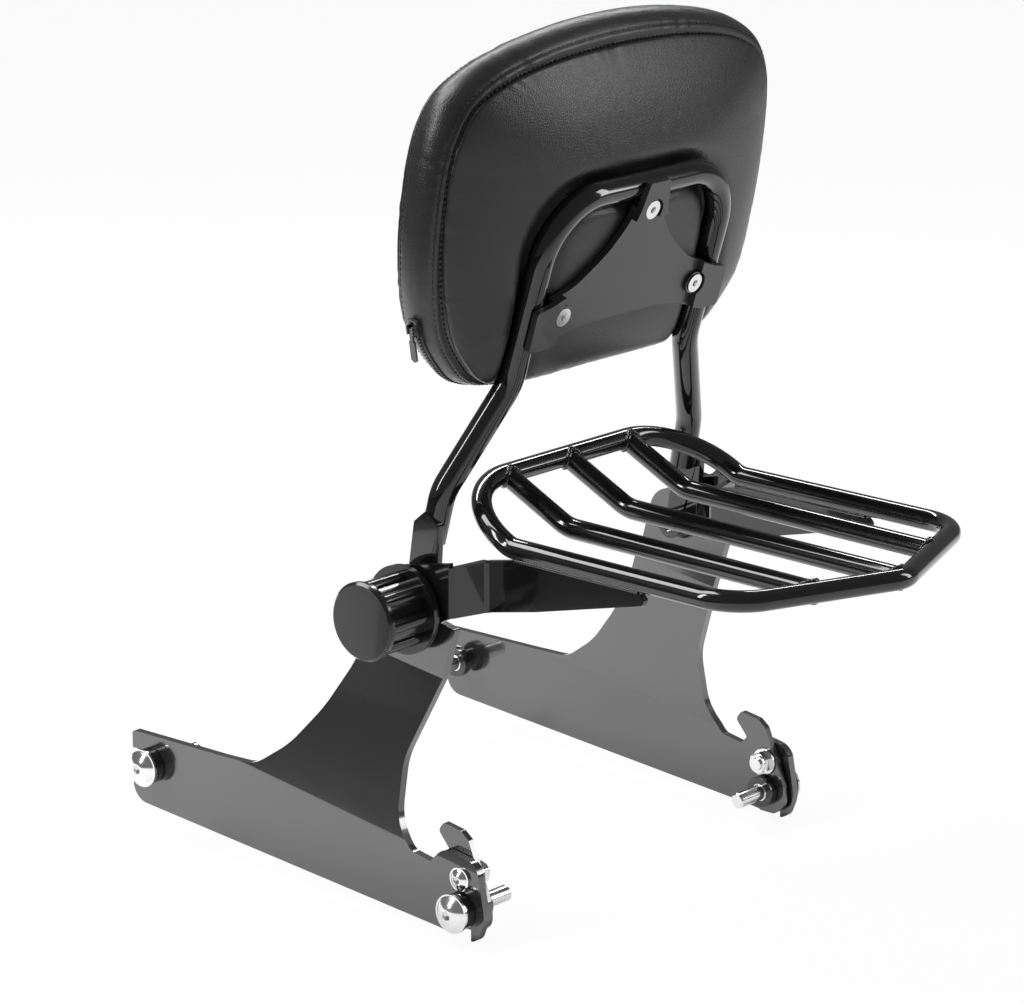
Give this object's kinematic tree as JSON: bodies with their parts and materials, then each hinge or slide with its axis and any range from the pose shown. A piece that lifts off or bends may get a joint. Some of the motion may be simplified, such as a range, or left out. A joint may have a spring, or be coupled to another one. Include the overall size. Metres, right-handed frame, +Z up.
{
  "type": "motorcycle sissy bar",
  "caption": "Detachable passenger backrest for a motorcycle: a padded tubular upright clamped by knobs to two bent side plates, with a luggage rack behind it.",
  "frame": {"origin": "midway between the two front docking studs, on their common axis", "axes": "+X to the right of the vehicle, along the docking studs; +Y forward; +Z up"},
  "size_m": [0.3442, 0.4926, 0.531],
  "materials": {
    "plate_steel": "gloss black",
    "latch_steel": "gloss black",
    "bright_steel": "polished",
    "black_steel": "satin black",
    "knob_plastic": "fine grain",
    "tube_steel": "gloss black",
    "pad_plate_steel": "satin black",
    "insert_brass": "machined",
    "board_wood": "plywood",
    "pad_cover": "soft grained, black",
    "zip_tape": "woven",
    "zip_metal": "satin black",
    "rack_steel": "gloss black"
  },
  "bodies": {
    "frame": {"side_plate_left": "plate_steel", "side_plate_right": "plate_steel", "latch_bolt_left": "bright_steel", "latch_bolt_right": "bright_steel", "latch_washer_left": "bright_steel", "latch_washer_right": "bright_steel", "latch_nut_left": "bright_steel", "latch_nut_right": "bright_steel", "front_stud_left": "bright_steel", "front_stud_right": "bright_steel", "front_bushing_left": "black_steel", "front_bushing_right": "black_steel", "rear_stud_left": "bright_steel", "rear_stud_right": "bright_steel", "rear_bushing_left": "black_steel", "rear_bushing_right": "black_steel", "knob_washers_left": "black_steel", "knob_washers_right": "black_steel", "clamp_boss_left": "tube_steel", "clamp_boss_right": "tube_steel", "leg_blade_left": "tube_steel", "leg_blade_right": "tube_steel", "upright_tube": "tube_steel", "pad_plate": "pad_plate_steel", "pad_screws": "bright_steel", "pad_screw_cups": "black_steel", "pad_inserts": "insert_brass", "pad_board": "board_wood", "pad": "pad_cover", "zip_chain": "zip_tape", "zip_slider": "zip_metal", "rack_loop": "rack_steel", "rack_slat_left": "rack_steel", "rack_slat_centre": "rack_steel", "rack_slat_right": "rack_steel", "rack_bracket_left": "rack_steel", "rack_bracket_right": "rack_steel"},
    "knob_left": {"knob_left": "knob_plastic", "knob_stud_left": "bright_steel"},
    "knob_right": {"knob_right": "knob_plastic", "knob_stud_right": "bright_steel"},
    "latch_left": {"latch_left": "latch_steel"},
    "latch_right": {"latch_right": "latch_steel"},
    "zip_pull": {"zip_pull": "zip_metal"}
  },
  "joints": [
    {"name": "knob_left_turn", "type": "hinge", "parent": "frame", "child": "knob_left", "pos_m": [-0.153, -0.2064, 0.142], "axis": [-1, 0, 0], "continuous": true},
    {"name": "knob_right_turn", "type": "hinge", "parent": "frame", "child": "knob_right", "pos_m": [0.153, -0.2064, 0.142], "axis": [1, 0, 0], "continuous": true},
    {"name": "latch_left_open", "type": "hinge", "parent": "frame", "child": "latch_left", "pos_m": [-0.1381, -0.2616, -0.0098], "axis": [-1, 0, 0], "range_deg": [0, 50]},
    {"name": "latch_right_open", "type": "hinge", "parent": "frame", "child": "latch_right", "pos_m": [0.1381, -0.2616, -0.0098], "axis": [-1, 0, 0], "range_deg": [0, 50]},
    {"name": "zip_pull_swing", "type": "hinge", "parent": "frame", "child": "zip_pull", "pos_m": [-0.14014, -0.2178, 0.31309], "axis": [0, 0.9866, 0.1633], "range_deg": [0, 150]}
  ]
}
